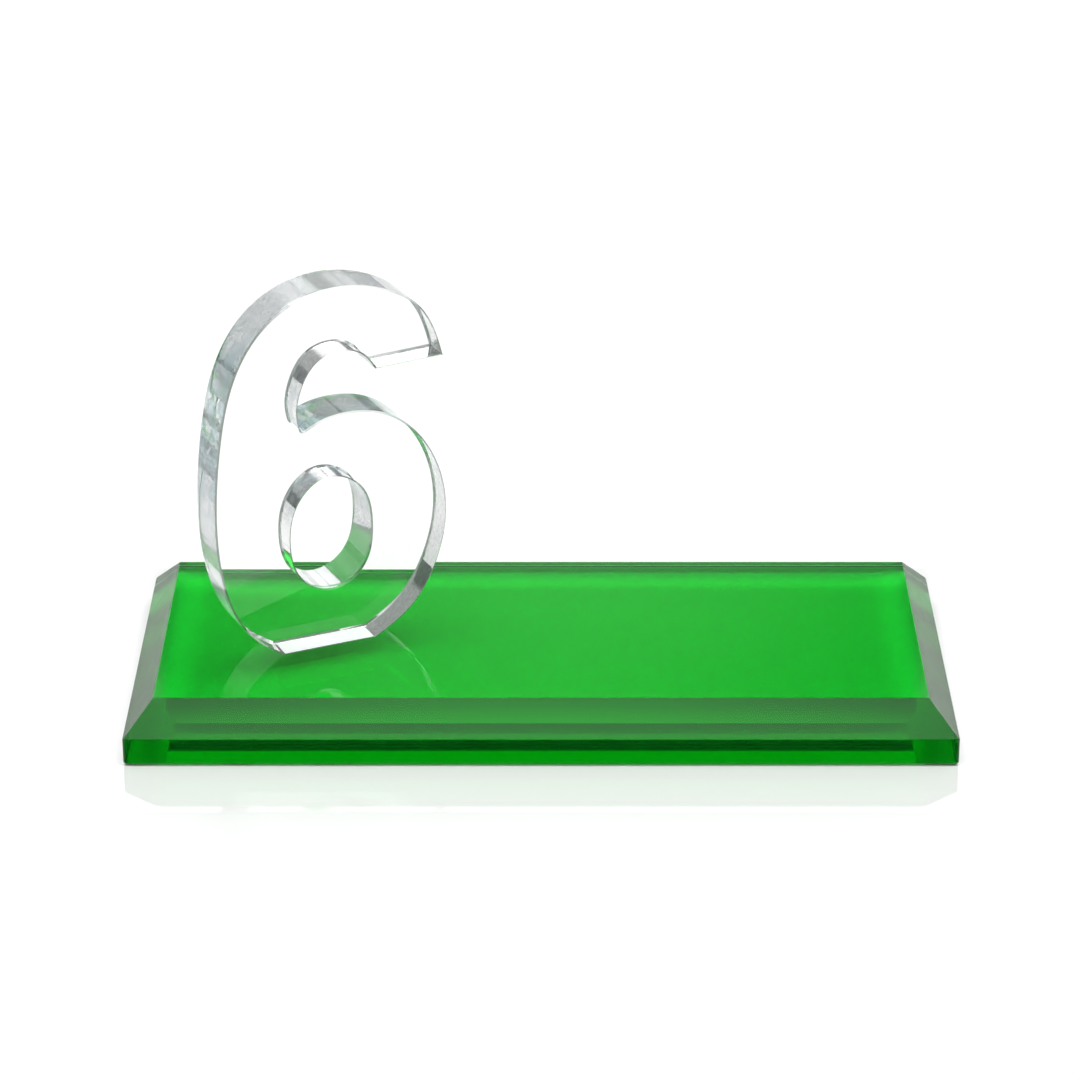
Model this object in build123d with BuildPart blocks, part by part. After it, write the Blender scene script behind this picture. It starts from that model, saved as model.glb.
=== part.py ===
from build123d import *
import os
from math import cos, radians, sin

# Crystal number stand. A clear numeral 6, cut from polished plate, is bonded upright by its
# flat-cut foot to a green bevelled base block and turned a little to face right.
# Millimetres. Origin: centre of the underside of the base. +X along the length of the base,
# +Y to the back, +Z up. The front of the stand faces -Y.
os.makedirs("parts", exist_ok=True)

# Base block: one slab with a low vertical band, four wide bevels and small ground arrises.
base_length = 254.0
base_depth = 117.6
base_height = 18.6
band_height = 8.8
bevel_run = 8.9
corner_arris = 0.6
bottom_arris = 0.8

# Adhesive film under the foot.
film_thickness = 0.1
film_margin = 0.9

# Numeral plate. Its outline is drawn on its front face: the middle of the foot is the zero
# point, across is along the plate and up is along Z.
plate_thickness = 15.9
plate_arris = 0.5
foot_centre = (-69.0, -6.6)
turn = 25.0
foot_half = 15.6
height = 118.6
crotch_radius = 1.3
foot_left = (-foot_half, 0.0)
foot_right = (foot_half, 0.0)
terminal_outer = (39.3, 91.0)
terminal_inner = (16.9, 90.1)
crotch = (-8.0, 73.2)

across = Vector(cos(radians(turn)), sin(radians(turn)), 0)
outward = Vector(sin(radians(turn)), -cos(radians(turn)), 0)
foot_middle = Vector(foot_centre[0], foot_centre[1], 0)
foot_level = base_height + film_thickness
front_middle = foot_middle + outward * (plate_thickness / 2) + Vector(0, 0, foot_level)
front_face = Plane(origin=front_middle, x_dir=across, z_dir=outward)
film_plane = Plane(origin=foot_middle + Vector(0, 0, base_height), x_dir=across, z_dir=(0, 0, 1))

# The base is cut from one block: the bevels run all round and meet in mitred hips.
with BuildPart() as base_block:
    with BuildSketch(Plane.XY):
        Rectangle(base_length, base_depth)
    extrude(amount=base_height)
    top = base_block.faces().sort_by(Axis.Z)[-1]
    bevel_drop = base_height - band_height
    chamfer(top.edges(), length=bevel_run, length2=bevel_drop, reference=top)
    chamfer(base_block.edges().filter_by(Axis.Z), length=corner_arris)
    chamfer(base_block.faces().sort_by(Axis.Z)[0].edges(), length=bottom_arris)
base_block.part.label = "base_block"
export_step(base_block.part, "parts/base_block.step")

# A thin cured film joins the two crystals and stops short of the arrises of the foot.
with BuildPart() as bond_film:
    with BuildSketch(film_plane):
        Rectangle(2 * (foot_half - film_margin), plate_thickness - 2 * film_margin)
    extrude(amount=film_thickness)
bond_film.part.label = "bond_film"
export_step(bond_film.part, "parts/bond_film.step")

# The numeral: back of the bowl, stem and crown in one sweep, a flat terminal, the inside of
# the hook down to the crotch, the bowl and the flat foot, with an oval counter through it.
with BuildPart() as numeral_six:
    with BuildSketch(front_face) as outline:
        with BuildLine():
            Spline(
                foot_left,
                (-25.8, 7.9),
                (-34.3, 25.5),
                (-36.7, 46.0),
                (-34.5, 75.0),
                (-28.6, 96.5),
                (-17.5, 111.0),
                (-5.0, 117.3),
                (7.0, height),
                (21.8, 115.0),
                (31.5, 108.5),
                (36.6, 100.0),
                terminal_outer,
            )
            Line(terminal_outer, terminal_inner)
            Spline(
                terminal_inner,
                (12.4, 95.7),
                (5.4, 97.7),
                (-2.2, 95.2),
                (-7.4, 87.5),
                (-9.0, 78.5),
                crotch,
            )
            Spline(
                crotch,
                (-2.0, 76.1),
                (7.5, 77.6),
                (19.5, 75.3),
                (30.5, 66.8),
                (37.6, 54.0),
                (39.9, 40.0),
                (36.7, 23.0),
                (27.7, 8.3),
                foot_right,
            )
            Line(foot_right, foot_left)
        make_face()
        fillet(outline.vertices().sort_by_distance((*crotch, 0))[0], radius=crotch_radius)
        with BuildLine():
            Spline(
                (0.0, 57.0),
                (10.4, 52.9),
                (14.5, 39.0),
                (10.6, 24.6),
                (0.4, 19.7),
                (-8.8, 24.7),
                (-12.3, 37.0),
                (-9.3, 50.0),
                periodic=True,
            )
        make_face(mode=Mode.SUBTRACT)
    extrude(amount=-plate_thickness)
    faces = numeral_six.faces().sort_by(Axis(origin=(0, 0, 0), direction=outward))
    chamfer(faces[0].edges() + faces[-1].edges(), length=plate_arris)
numeral_six.part.label = "numeral_six"
export_step(numeral_six.part, "parts/numeral_six.step")
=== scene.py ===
from math import cos, radians, sin

import bmesh
import bpy
import numpy as np
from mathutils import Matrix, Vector


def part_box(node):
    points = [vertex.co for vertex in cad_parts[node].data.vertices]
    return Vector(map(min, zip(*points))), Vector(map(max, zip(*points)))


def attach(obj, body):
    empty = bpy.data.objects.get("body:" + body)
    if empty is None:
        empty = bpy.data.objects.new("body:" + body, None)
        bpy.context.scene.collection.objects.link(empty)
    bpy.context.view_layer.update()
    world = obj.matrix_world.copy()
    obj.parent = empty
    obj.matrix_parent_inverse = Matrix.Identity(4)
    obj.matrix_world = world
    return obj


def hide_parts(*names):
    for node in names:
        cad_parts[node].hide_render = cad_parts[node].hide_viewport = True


# Crystal number stand: a clear numeral 6 bonded to a green bevelled base, on a pale floor.
# Metres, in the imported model's frame: +X to the right, +Y to the back, +Z up, front towards -Y.
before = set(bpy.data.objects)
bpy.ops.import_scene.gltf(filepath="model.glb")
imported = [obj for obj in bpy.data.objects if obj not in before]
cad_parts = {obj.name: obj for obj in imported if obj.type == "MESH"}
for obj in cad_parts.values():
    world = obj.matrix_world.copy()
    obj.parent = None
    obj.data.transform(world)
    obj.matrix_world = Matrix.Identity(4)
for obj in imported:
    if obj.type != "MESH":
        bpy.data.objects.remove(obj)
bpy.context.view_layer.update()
scene = bpy.context.scene

MM = 0.001
RIGHT = Vector((1, 0, 0))
BACK = Vector((0, 1, 0))
UP = Vector((0, 0, 1))

base_low, base_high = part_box("base_block")
film_low, film_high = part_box("bond_film")
numeral_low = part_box("numeral_six")[0]


# ------------------------------------------------------------------ camera and view
CAMERA_PITCH = radians(24.14)
CAMERA_DISTANCE = 1.1311
CAMERA_HEIGHT = 0.5557
SENSOR = 36.0
LENS = 132.23
SHIFT = -0.001

camera_data = bpy.data.cameras.new("camera")
camera_data.sensor_width = SENSOR
camera_data.lens = LENS
camera_data.shift_x = SHIFT
camera_data.clip_start = 0.05
camera_data.clip_end = 60.0
camera = bpy.data.objects.new("camera", camera_data)
camera.location = (0.0, -CAMERA_DISTANCE, CAMERA_HEIGHT)
camera.rotation_euler = (radians(90.0) - CAMERA_PITCH, 0.0, 0.0)
scene.collection.objects.link(camera)
scene.camera = camera

scene.view_settings.view_transform = "Standard"
scene.view_settings.look = "None"
# Light crosses the two blocks many times before it leaves them, and stays sharp where they focus it.
scene.cycles.max_bounces = 24
scene.cycles.transmission_bounces = 24
scene.cycles.glossy_bounces = 16
scene.cycles.blur_glossy = 0.0


# ------------------------------------------------------------------ node helpers
class Tree:
    """Short names for making and joining nodes in one node tree."""

    def __init__(self, owner):
        owner.use_nodes = True
        self.nodes = owner.node_tree.nodes
        self.links = owner.node_tree.links
        self.nodes.clear()

    def add(self, kind, **settings):
        node = self.nodes.new(kind)
        for name, value in settings.items():
            setattr(node, name, value)
        return node

    def put(self, socket, value):
        """Sets an input: joins it to an output, or gives it a constant."""
        if isinstance(value, bpy.types.NodeSocket):
            self.links.new(value, socket)
        else:
            socket.default_value = value

    def math(self, operation, a, b=0.0, clamp=False):
        node = self.add("ShaderNodeMath", operation=operation, use_clamp=clamp)
        self.put(node.inputs[0], a)
        self.put(node.inputs[1], b)
        return node.outputs[0]

    def product(self, first, *others):
        """Product of two or more values."""
        for other in others:
            first = self.math("MULTIPLY", first, other)
        return first

    def vector_math(self, operation, a, b):
        node = self.add("ShaderNodeVectorMath", operation=operation)
        self.put(node.inputs[0], a)
        self.put(node.inputs[1], b)
        return node.outputs["Value"]

    def dot(self, a, b):
        return self.vector_math("DOT_PRODUCT", a, b)

    def along(self, vector, axis):
        """How far a vector points along an axis, either way."""
        return self.math("ABSOLUTE", self.dot(vector, axis))

    def fade(self, value, start, end, low=0.0, high=1.0):
        """Smooth step: low at start, high at end."""
        node = self.add("ShaderNodeMapRange", interpolation_type="SMOOTHSTEP")
        for name, entry in (
            ("Value", value),
            ("From Min", start),
            ("From Max", end),
            ("To Min", low),
            ("To Max", high),
        ):
            self.put(node.inputs[name], entry)
        return node.outputs["Result"]

    def blend(self, factor, first, second):
        """Colour that goes from the first to the second; each is an output or an RGB constant."""
        node = self.add("ShaderNodeMix", data_type="RGBA")
        self.put(node.inputs["Factor"], factor)
        for name, colour in (("A", first), ("B", second)):
            self.put(node.inputs[name], (*colour, 1) if isinstance(colour, tuple) else colour)
        return node.outputs["Result"]

    def noise(self, vector, scale, detail, roughness=0.5):
        node = self.add("ShaderNodeTexNoise")
        self.put(node.inputs["Vector"], vector)
        node.inputs["Scale"].default_value = scale
        node.inputs["Detail"].default_value = detail
        node.inputs["Roughness"].default_value = roughness
        return node.outputs["Fac"]

    def bump(self, height, strength, distance):
        node = self.add("ShaderNodeBump")
        self.put(node.inputs["Height"], height)
        self.put(node.inputs["Strength"], strength)
        node.inputs["Distance"].default_value = distance
        return node.outputs["Normal"]

    def surface(self, shader):
        output = self.add("ShaderNodeOutputMaterial")
        self.links.new(shader.outputs["BSDF"], output.inputs["Surface"])
        return output

    def absorb(self, output, colour, density):
        volume = self.add("ShaderNodeVolumeAbsorption")
        volume.inputs["Color"].default_value = (*colour, 1)
        volume.inputs["Density"].default_value = density
        self.links.new(volume.outputs["Volume"], output.inputs["Volume"])


def new_material(name):
    """Material, its tree and an empty principled shader."""
    material = bpy.data.materials.new(name)
    tree = Tree(material)
    return material, tree, tree.add("ShaderNodeBsdfPrincipled")


def object_place(tree):
    return tree.add("ShaderNodeTexCoord").outputs["Object"]


# ------------------------------------------------------------------ where the numeral stands
TURN = radians(25.0)
across = Vector((cos(TURN), sin(TURN), 0))
outward = Vector((sin(TURN), -cos(TURN), 0))
film_middle = (film_low + film_high) / 2
foot_level = numeral_low.z
numeral_origin = Vector((film_middle.x, film_middle.y, foot_level))


def place(point, depth=0.0):
    """Point of the numeral's face (mm across and up) and depth (mm, + to the front) to the frame (m)."""
    return numeral_origin + (across * point[0] + UP * point[1] + outward * depth) * MM


# ------------------------------------------------------------------ materials
CLEAR = (1.0, 1.0, 1.0)
# Height (m) below which the arrises round the underside of the base are hazy and near-black, a painted
# dark edge line.
DARK_ARRIS_UP_TO = base_low.z + 0.6 * MM
# Heights (m) between which the numeral's cut walls carry painted mottled reflections, and over which that
# sets in.
MOTTLE_FOOT = foot_level + 50 * MM
MOTTLE_TOP = foot_level + 88 * MM
MOTTLE_FOOT_EDGE = 10 * MM
MOTTLE_TOP_EDGE = 6 * MM
# Haze of the cut walls, at the foot and from MOTTLE_FOOT up: on their own, and a painted shade added
# where a wall is seen from inside the glass.
WALL_HAZE = (0.05, 0.09)
INSIDE_PAINTED_SHADE = (0.14, 0.26)
# The lower part of the counter is polished clear, up to a height and out to a distance from its middle.
CLEAR_UP_TO = foot_level + 38 * MM
COUNTER_MIDDLE = (1.0, 38.0)
COUNTER_REACH = 24 * MM
# Heights (m) round the terminal between which level arrises are frosted, and over which that sets in.
TERMINAL_LOW = foot_level + 88 * MM
TERMINAL_HIGH = foot_level + 93 * MM
TERMINAL_EDGE = 2 * MM
# Haze of the dark-toned arrises, which carry a painted dark edge line, and of the frosted arrises.
DARK_ARRIS_HAZE = 0.35
FROSTED_HAZE = 0.85


def green_crystal():
    """Coloured optical glass, green by its depth: end slopes less polished, small arrises hazy and
    near-black as a painted dark edge line, reflections tinted by face direction as a painted reflection
    colour.
    """
    material, tree, shader = new_material("green_crystal")
    spot = object_place(tree)
    normal = tree.add("ShaderNodeNewGeometry").outputs["Normal"]
    rise = tree.along(normal, UP)
    sideways = tree.along(normal, RIGHT)
    depthways = tree.along(normal, BACK)
    not_level = tree.fade(rise, 0.98, 0.9)

    dark_arris_share = 0.8
    lowest = tree.fade(tree.dot(spot, UP), DARK_ARRIS_UP_TO, DARK_ARRIS_UP_TO / 2)
    foot_arris = tree.product(lowest, tree.fade(rise, 0.1, 0.3), not_level)
    corner_arris = tree.fade(tree.product(sideways, depthways), 0.1, 0.2)
    # The underside and upright corner arrises are hazy and near-black: a painted dark edge line.
    hazy_painted_dark_arris = tree.math("MAXIMUM", foot_arris, corner_arris)
    polished = tree.math("SUBTRACT", 1.0, tree.product(hazy_painted_dark_arris, dark_arris_share))
    tree.put(shader.inputs["Transmission Weight"], polished)
    tree.put(shader.inputs["Base Color"], tree.blend(hazy_painted_dark_arris, CLEAR, (0.01, 0.05, 0.01)))

    # The reflections are tinted by which way the face points, a painted reflection colour: pure green on
    # the upright band, paler on the slopes and the top.
    end_slope = tree.product(tree.fade(rise, 0.2, 0.6), not_level, sideways)
    painted_reflection_tint = tree.blend(tree.fade(rise, 0.1, 0.5), (0.0, 0.6, 0.05), (0.33, 1.0, 0.38))
    painted_reflection_tint = tree.blend(tree.fade(end_slope, 0.2, 0.6), painted_reflection_tint, (0.19, 0.97, 0.22))
    tree.put(shader.inputs["Specular Tint"], painted_reflection_tint)
    wear = tree.fade(tree.noise(spot, 300.0, 3.0), 0.3, 0.7, 0.7, 1.0)
    tree.put(shader.inputs["Roughness"], tree.product(end_slope, 0.35, wear))
    shader.inputs["IOR"].default_value = 1.67
    tree.absorb(tree.surface(shader), (0.0, 0.92, 0.36), 142.0)
    return material


def clear_crystal():
    """Clear optical glass: faces polished flat, cut walls hazy with painted mottled reflections and a
    painted shade seen from inside, arrises hazy with a painted dark edge line.
    """
    material, tree, shader = new_material("clear_crystal")
    spot = object_place(tree)
    height = tree.dot(spot, UP)
    geometry = tree.add("ShaderNodeNewGeometry")
    facing = tree.along(geometry.outputs["Normal"], outward)
    level = tree.along(geometry.outputs["Normal"], UP)
    wall = tree.fade(facing, 0.6, 0.3)
    # The arrises are at 45 degrees to the faces. Level ones are polished, or frosted at the terminal.
    arris = tree.product(tree.fade(facing, 0.6, 0.68), tree.fade(facing, 0.9, 0.8))
    # Upright arrises get haze and a dark tone: a painted dark edge line.
    hazy_painted_dark_arris = tree.product(arris, tree.fade(level, 0.69, 0.45))
    at_terminal = tree.product(
        tree.fade(height, TERMINAL_LOW - TERMINAL_EDGE, TERMINAL_LOW),
        tree.fade(height, TERMINAL_HIGH + TERMINAL_EDGE, TERMINAL_HIGH),
    )
    frosted = tree.product(arris, tree.fade(level, 0.45, 0.65), at_terminal)

    busy = tree.product(
        tree.fade(height, MOTTLE_TOP + MOTTLE_TOP_EDGE, MOTTLE_TOP - MOTTLE_TOP_EDGE),
        tree.fade(height, MOTTLE_FOOT - MOTTLE_FOOT_EDGE, MOTTLE_FOOT + MOTTLE_FOOT_EDGE),
    )
    fine = tree.noise(spot, 900.0, 4.0, 0.6)
    patches = tree.noise(spot, 190.0, 4.0, 0.6)
    # The mottle paints patchy reflections into the walls, as haze and a bluish tinge.
    painted_reflection_mottle = tree.fade(patches, 0.42, 0.56)

    from_counter = tree.vector_math("DISTANCE", spot, place(COUNTER_MIDDLE))
    polished = tree.product(
        tree.fade(height, MOTTLE_FOOT, CLEAR_UP_TO),
        tree.fade(from_counter, COUNTER_REACH, COUNTER_REACH * 0.9, 0.0, 0.9),
    )
    calm_haze = tree.fade(height, foot_level, MOTTLE_FOOT, *WALL_HAZE)
    mottle_painted_haze = tree.product(tree.math("SUBTRACT", painted_reflection_mottle, 0.45), 0.5, busy)
    # Painted shade: more haze on the walls where they are seen from inside the glass.
    inside_painted_shade = tree.fade(height, foot_level, MOTTLE_FOOT, *INSIDE_PAINTED_SHADE)
    inside_painted_shade = tree.product(inside_painted_shade, geometry.outputs["Backfacing"])
    haze = tree.math("ADD", tree.math("ADD", calm_haze, mottle_painted_haze), inside_painted_shade)
    # Level walls, the foot and the terminal, are polished better than the upright ones.
    upright = tree.fade(level, 0.99, 0.93, 0.4, 1.0)
    haze = tree.product(haze, tree.math("SUBTRACT", 1.0, polished), wall, upright)
    haze = tree.math("MAXIMUM", haze, tree.product(hazy_painted_dark_arris, DARK_ARRIS_HAZE))
    haze = tree.math("MAXIMUM", haze, tree.product(frosted, FROSTED_HAZE))
    tree.put(shader.inputs["Transmission Weight"], tree.math("SUBTRACT", 1.0, haze, clamp=True))

    shade = tree.blend(tree.fade(fine, 0.35, 0.65), (0.52, 0.56, 0.58), (0.88, 0.88, 0.88))
    # Painted reflection: a bluish tinge in the mottled patches.
    shade = tree.blend(tree.product(busy, painted_reflection_mottle, 0.7), shade, (0.52, 0.68, 0.76))
    # Painted dark edge line on the upright arrises.
    shade = tree.blend(hazy_painted_dark_arris, shade, (0.14, 0.18, 0.15))
    shade = tree.blend(frosted, shade, (0.95, 0.95, 0.95))
    # Only as much tone as there is haze: what passes through stays clear.
    tree.put(shader.inputs["Base Color"], tree.blend(tree.fade(haze, 0.0, 0.05), CLEAR, shade))
    tree.put(shader.inputs["Roughness"], tree.product(wall, 0.03))
    relief = tree.math("ADD", tree.product(busy, 0.35), 0.04)
    tree.put(shader.inputs["Normal"], tree.bump(patches, tree.product(wall, relief), 0.1 * MM))
    shader.inputs["IOR"].default_value = 1.517
    tree.absorb(tree.surface(shader), (0.9, 0.95, 0.92), 1.0)
    return material


def adhesive():
    """Cured bonding film: white where it has set, a little cloudy, with a painted glow: its upper face
    under the foot emits light.
    """
    material, tree, shader = new_material("clear_adhesive")
    clouds = tree.noise(object_place(tree), 350.0, 3.0)
    tone = tree.blend(tree.fade(clouds, 0.3, 0.7), (0.9, 0.9, 0.9), (0.97, 0.97, 0.97))
    tree.put(shader.inputs["Base Color"], tone)
    tree.put(shader.inputs["Roughness"], tree.fade(clouds, 0.2, 0.8, 0.3, 0.5))
    normal = tree.add("ShaderNodeNewGeometry").outputs["Normal"]
    # Painted glow: the upper face of the film emits a little white light, though it is no lamp.
    painted_glow = tree.fade(tree.dot(normal, UP), 0.5, 0.9, 0.0, 0.45)
    tree.put(shader.inputs["Emission Strength"], painted_glow)
    shader.inputs["Emission Color"].default_value = (1, 1, 1, 1)
    tree.surface(shader)
    return material


# ------------------------------------------------------------------ base
POLISHED_ARRIS = 0.35 * MM
WELD_DISTANCE = 0.01 * MM


def flat_shading():
    """Node group that shades every face flat, for a cut and polished block."""
    group = bpy.data.node_groups.new("flat_faces", "GeometryNodeTree")
    for side in ("INPUT", "OUTPUT"):
        group.interface.new_socket("Geometry", in_out=side, socket_type="NodeSocketGeometry")
    start = group.nodes.new("NodeGroupInput")
    end = group.nodes.new("NodeGroupOutput")
    shade = group.nodes.new("GeometryNodeSetShadeSmooth")
    shade.inputs["Shade Smooth"].default_value = False
    group.links.new(start.outputs[0], shade.inputs["Geometry"])
    group.links.new(shade.outputs["Geometry"], end.inputs[0])
    return group


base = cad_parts["base_block"]
base.data.materials.clear()
base.data.materials.append(green_crystal())
weld = base.modifiers.new("weld", "WELD")
weld.merge_threshold = WELD_DISTANCE
arris = base.modifiers.new("arris", "BEVEL")
arris.width = POLISHED_ARRIS
arris.segments = 2
arris.limit_method = "ANGLE"
arris.angle_limit = radians(15)
facets = base.modifiers.new("facets", "NODES")
facets.node_group = flat_shading()


# ------------------------------------------------------------------ numeral outline
# Millimetres: across the face from the middle of the foot, and up from the foot.
FOOT_HALF = 15.6
FOOT_LEFT = (-FOOT_HALF, 0.0)
FOOT_RIGHT = (FOOT_HALF, 0.0)
TERMINAL_OUTER = (39.3, 91.0)
TERMINAL_INNER = (16.9, 90.1)
CROTCH = (-8.0, 73.2)
CROTCH_RADIUS = 1.3
CROTCH_POINTS = 9
PLATE = 15.9
FACE_ARRIS = 0.5
STEP = 0.25


def spline(knots, closed=False):
    """Smooth curve through the knots (natural or periodic cubic over chord length), as close points."""
    k = np.array(knots, float)
    if closed:
        k = np.vstack([k, k[:1]])
    h = np.linalg.norm(np.diff(k, axis=0), axis=1)
    n = len(k)
    a = np.zeros((n, n))
    b = np.zeros((n, 2))
    for i in range(1, n - 1):
        a[i, i - 1 : i + 2] = h[i - 1], 2 * (h[i - 1] + h[i]), h[i]
        b[i] = 6 * ((k[i + 1] - k[i]) / h[i] - (k[i] - k[i - 1]) / h[i - 1])
    if closed:
        a[0, 0], a[0, 1], a[0, n - 2] = 2 * (h[0] + h[-1]), h[0], h[-1]
        b[0] = 6 * ((k[1] - k[0]) / h[0] - (k[0] - k[-2]) / h[-1])
        a[n - 1, n - 1], a[n - 1, 0] = 1, -1
    else:
        a[0, 0] = a[n - 1, n - 1] = 1
    m = np.linalg.solve(a, b)
    points = []
    for i in range(n - 1):
        count = max(2, round(h[i] / STEP))
        for t in np.arange(count) / count * h[i]:
            u = h[i] - t
            bend = (m[i] * u**3 + m[i + 1] * t**3) / (6 * h[i])
            line = (k[i] / h[i] - m[i] * h[i] / 6) * u + (k[i + 1] / h[i] - m[i + 1] * h[i] / 6) * t
            points.append(bend + line)
    if not closed:
        points.append(k[-1])
    return points


def round_corner(before, after, radius):
    """Joins two runs of points that meet at a corner by a small curve of about that radius."""
    corner = np.array(after[0])
    far = [np.linalg.norm(p - corner) > radius for p in before]
    i = max(k for k in range(len(before)) if far[k])
    j = next(k for k in range(len(after)) if np.linalg.norm(after[k] - corner) > radius)
    p, q = before[i], after[j]
    steps = np.linspace(0, 1, CROTCH_POINTS)[1:-1]
    curve = [(1 - t) ** 2 * p + 2 * t * (1 - t) * corner + t**2 * q for t in steps]
    return before[: i + 1] + curve + after[j:]


def signed_area(points):
    p = np.array(points)
    q = np.roll(p, -1, axis=0)
    return 0.5 * (p[:, 0] * q[:, 1] - q[:, 0] * p[:, 1]).sum()


def numeral_loops():
    """Outer loop anticlockwise and counter clockwise, so that the glass is always to the left."""
    crown = spline(
        [
            FOOT_LEFT,
            (-25.8, 7.9),
            (-34.3, 25.5),
            (-36.7, 46.0),
            (-34.5, 75.0),
            (-28.6, 96.5),
            (-17.5, 111.0),
            (-5.0, 117.3),
            (7.0, 118.6),
            (21.8, 115.0),
            (31.5, 108.5),
            (36.6, 100.0),
            TERMINAL_OUTER,
        ]
    )
    hook = spline(
        [
            TERMINAL_INNER,
            (12.4, 95.7),
            (5.4, 97.7),
            (-2.2, 95.2),
            (-7.4, 87.5),
            (-9.0, 78.5),
            CROTCH,
        ]
    )
    bowl = spline(
        [
            CROTCH,
            (-2.0, 76.1),
            (7.5, 77.6),
            (19.5, 75.3),
            (30.5, 66.8),
            (37.6, 54.0),
            (39.9, 40.0),
            (36.7, 23.0),
            (27.7, 8.3),
            FOOT_RIGHT,
        ]
    )
    counter = spline(
        [
            (0.0, 57.0),
            (10.4, 52.9),
            (14.5, 39.0),
            (10.6, 24.6),
            (0.4, 19.7),
            (-8.8, 24.7),
            (-12.3, 37.0),
            (-9.3, 50.0),
        ],
        closed=True,
    )
    outer = crown + round_corner(hook, bowl, CROTCH_RADIUS)
    if signed_area(outer) < 0:
        outer = outer[::-1]
    if signed_area(counter) > 0:
        counter = counter[::-1]
    return outer, counter


# ------------------------------------------------------------------ numeral and film meshes
# Edges sharper than this stay sharp; the walls between them are shaded smooth.
SHARP_EDGE = radians(25)
# Points on each rounded corner of the film.
CORNER_POINTS = 7


def link_mesh(name, bm):
    mesh = bpy.data.meshes.new(name)
    bm.to_mesh(mesh)
    bm.free()
    piece = bpy.data.objects.new(name, mesh)
    scene.collection.objects.link(piece)
    return piece


def inset(loop, distance):
    """Moves a closed loop to its left by a distance, mitred at the corners."""
    p = np.array(loop)
    before = p - np.roll(p, 1, axis=0)
    after = np.roll(p, -1, axis=0) - p
    before /= np.linalg.norm(before, axis=1)[:, None]
    after /= np.linalg.norm(after, axis=1)[:, None]
    mitre = np.stack([-before[:, 1] - after[:, 1], before[:, 0] + after[:, 0]], 1)
    return p + mitre * (2.0 * distance / (mitre * mitre).sum(1))[:, None]


def build_plate(name, loops, thickness, arris_width):
    """Closed plate through every loop: flat faces, smooth walls and a chamfered arris round each face."""
    bm = bmesh.new()
    half = thickness / 2
    rims = {1: [], -1: []}
    for loop in loops:
        small = inset(loop, arris_width)
        steps = ((small, half), (loop, half - arris_width), (loop, arris_width - half), (small, -half))
        rings = [[bm.verts.new(place(p, depth)) for p in points] for points, depth in steps]
        n = len(loop)
        for a, b in zip(rings, rings[1:]):
            for i in range(n):
                j = (i + 1) % n
                bm.faces.new((a[i], b[i], b[j], a[j])).smooth = True
        for side, ring in ((1, rings[0]), (-1, rings[-1])):
            rims[side] += [bm.edges.get((ring[i], ring[(i + 1) % n])) for i in range(n)]
    for side, rim in rims.items():
        bmesh.ops.triangle_fill(bm, edges=rim, use_beauty=True, normal=outward * side)
    bmesh.ops.recalc_face_normals(bm, faces=bm.faces)
    for edge in bm.edges:
        edge.smooth = edge.calc_face_angle() < SHARP_EDGE
    return link_mesh(name, bm)


def rounded_rectangle(length, width, corner):
    """Outline (mm) anticlockwise from the right side, with rounded corners."""
    outline = []
    for quarter, (sx, sy) in enumerate(((1, 1), (-1, 1), (-1, -1), (1, -1))):
        for t in np.linspace(0, 90, CORNER_POINTS):
            a = radians(90 * quarter + t)
            u = sx * (length / 2 - corner) + corner * cos(a)
            v = sy * (width / 2 - corner) + corner * sin(a)
            outline.append((u, v))
    return outline


def build_slab(name, bottom, top, outline):
    """Thin slab turned with the numeral, between two levels (m)."""
    bm = bmesh.new()
    rings = []
    for level in (bottom, top):
        ring = []
        for u, v in outline:
            spot = place((u, 0), -v)
            spot.z = level
            ring.append(bm.verts.new(spot))
        rings.append(ring)
    n = len(outline)
    for i in range(n):
        j = (i + 1) % n
        bm.faces.new((rings[0][i], rings[0][j], rings[1][j], rings[1][i]))
    bm.faces.new(rings[0][::-1])
    bm.faces.new(rings[1])
    return link_mesh(name, bm)


numeral = build_plate("numeral_plate", numeral_loops(), PLATE, FACE_ARRIS)
numeral.data.materials.append(clear_crystal())
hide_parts("numeral_six")
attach(numeral, "root")

# The film wets the foot, and stands a hair off the base, which keeps its own polish.
FILM_GAP = 0.03 * MM
FILM_BITE = 0.01 * MM
FILM_MARGIN = 0.7
FILM_CORNER = 0.6
film_outline = rounded_rectangle(2 * (FOOT_HALF - FILM_MARGIN), PLATE - 2 * FILM_MARGIN, FILM_CORNER)
film = build_slab("adhesive_film", base_high.z + FILM_GAP, foot_level + FILM_BITE, film_outline)
film.data.materials.append(adhesive())
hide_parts("bond_film")
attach(film, "root")


# ------------------------------------------------------------------ floor
FLOOR_HALF = 8.0
FLOOR_LEVEL = base_low.z - 0.2 * MM
# Distance from the base (m) over which the floor's polish gives way to a satin finish.
POLISHED_TO = 0.027
SATIN_FROM = 0.031
POLISHED, SATIN = 0.05, 0.32


def pale_floor():
    """Pale table top, polished where the base stands and satin further out."""
    material, tree, shader = new_material("floor")
    spot = object_place(tree)
    beside = tree.math("SUBTRACT", tree.along(spot, RIGHT), base_high.x)
    before = tree.math("SUBTRACT", tree.along(spot, BACK), base_high.y)
    away = tree.math("MAXIMUM", beside, before)
    tree.put(shader.inputs["Roughness"], tree.fade(away, POLISHED_TO, SATIN_FROM, POLISHED, SATIN))
    shader.inputs["Base Color"].default_value = (0.85, 0.85, 0.85, 1)
    shader.inputs["IOR"].default_value = 2.5
    tree.surface(shader)
    return material


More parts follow.
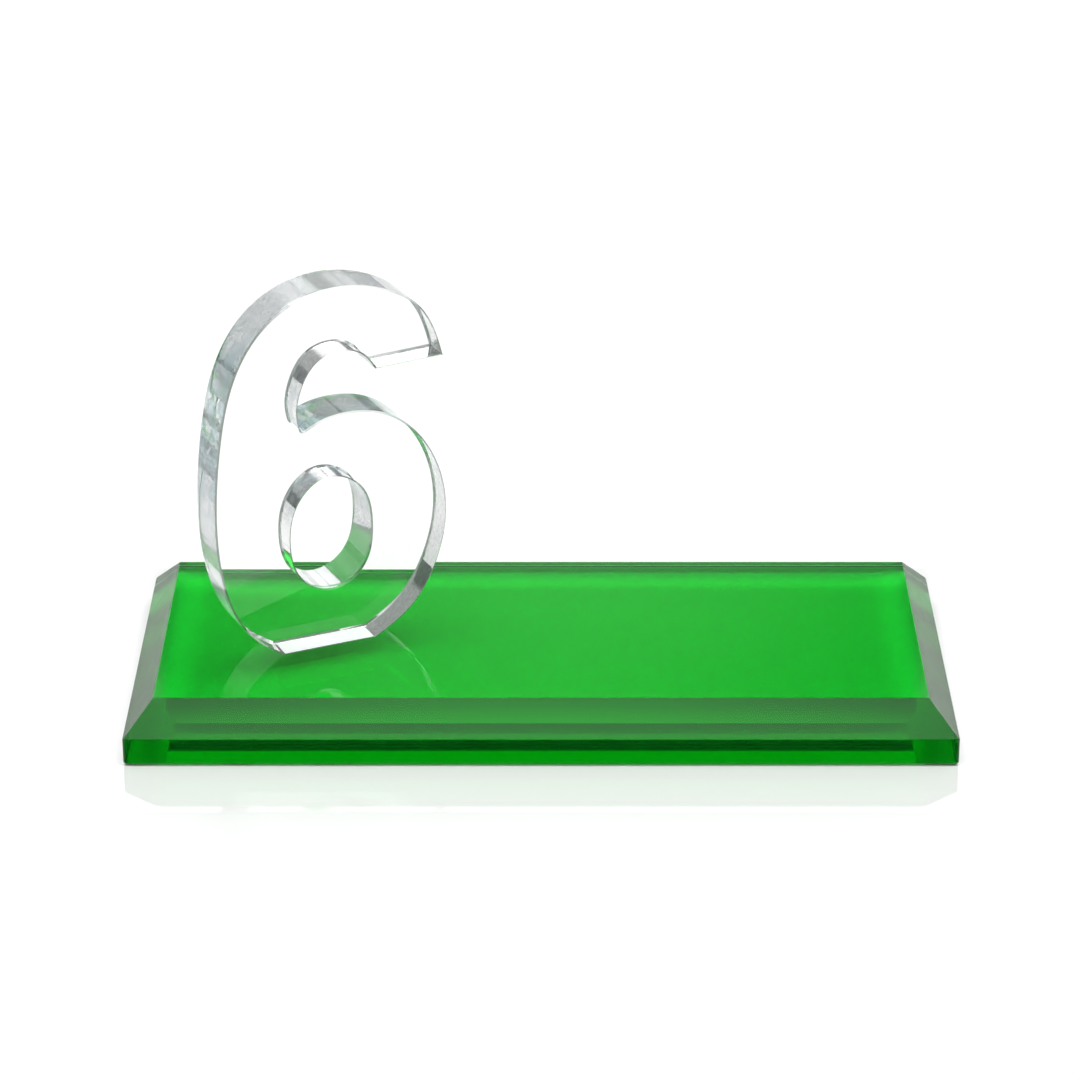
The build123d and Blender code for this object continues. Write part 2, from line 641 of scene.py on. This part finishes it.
corners = [(x * FLOOR_HALF, y * FLOOR_HALF, FLOOR_LEVEL) for x, y in ((-1, -1), (1, -1), (1, 1), (-1, 1))]
floor_mesh = bpy.data.meshes.new("floor")
floor_mesh.from_pydata(corners, [], [(0, 1, 2, 3)])
floor = bpy.data.objects.new("floor", floor_mesh)
scene.collection.objects.link(floor)
floor.data.materials.append(pale_floor())


# ------------------------------------------------------------------ studio light
# Elevation in degrees and brightness of the plain surroundings.
SKY = ((0, 0.2), (9, 0.2), (14, 1.25), (29, 1.25), (35, 0.45), (42, 0.35), (53, 0.3), (90, 0.3))
SKY_TOP = 1.5
# Soft round lights: azimuth, elevation, bright to, dark at (degrees), strength.
LIGHTS = (
    (0, 22.5, 1.0, 7.0, 0.32),
    (180, 78, 15.0, 32.0, 2.5),
    (-90, 74, 8.0, 24.0, 3.15),
    (90, 74, 8.0, 24.0, 3.15),
)
# Dark flags: azimuth, half widths where it is dark and where it is clear, the four elevations
# between which it darkens, stays dark and clears, and depth.
FLAGS = (
    (0, (5.95, 6.5), (23.5, 24.8, 26.3, 27.05), 0.95),
    (-52, (18.0, 28.0), (-5.0, 0.0, 30.0, 38.0), 0.78),
    (180, (75.0, 100.0), (-5.0, 0.0, 32.0, 40.0), 0.45),
)


def direction(azimuth, elevation):
    """Unit vector; azimuth 0 is straight behind the object (+Y), positive to the right."""
    a, e = radians(azimuth), radians(elevation)
    return Vector((sin(a) * cos(e), cos(a) * cos(e), sin(e)))


def plain_sky(tree, rise):
    """Brightness by elevation, from the sine of the elevation."""
    ramp = tree.add("ShaderNodeValToRGB")
    tree.put(ramp.inputs["Fac"], rise)
    stops = ramp.color_ramp.elements
    while len(stops) < len(SKY):
        stops.new(0.5)
    for stop, (elevation, value) in zip(stops, SKY):
        stop.position = sin(radians(elevation))
        stop.color = (value / SKY_TOP,) * 3 + (1,)
    ramp.color_ramp.interpolation = "EASE"
    return tree.math("MULTIPLY", ramp.outputs["Color"], SKY_TOP)


def studio():
    """World of plain surroundings, dark flags in front of them and soft lights on top."""
    world = bpy.data.worlds.new("studio")
    tree = Tree(world)
    view = tree.add("ShaderNodeTexCoord").outputs["Generated"]
    rise = tree.dot(view, UP)
    total = plain_sky(tree, rise)
    elevation = tree.math("ARCSINE", rise)
    level_part = tree.math("COSINE", elevation)
    for azimuth, widths, heights, depth in FLAGS:
        towards = tree.math("DIVIDE", tree.dot(view, direction(azimuth, 0)), level_part)
        angle = tree.math("ARCCOSINE", towards)
        dark, clear = (radians(width) for width in widths)
        start, full, leave, end = (radians(height) for height in heights)
        flag = tree.product(
            tree.fade(angle, clear, dark, 0.0, depth),
            tree.fade(elevation, start, full),
            tree.fade(elevation, end, leave),
        )
        total = tree.product(total, tree.math("SUBTRACT", 1.0, flag))
    for azimuth, height, bright_to, dark_at, strength in LIGHTS:
        angle = tree.math("ARCCOSINE", tree.dot(view, direction(azimuth, height)))
        light = tree.fade(angle, radians(dark_at), radians(bright_to), 0.0, strength)
        total = tree.math("ADD", total, light)
    background = tree.add("ShaderNodeBackground")
    tree.put(background.inputs["Color"], total)
    output = tree.add("ShaderNodeOutputWorld")
    tree.links.new(background.outputs[0], output.inputs["Surface"])
    return world


scene.world = studio()
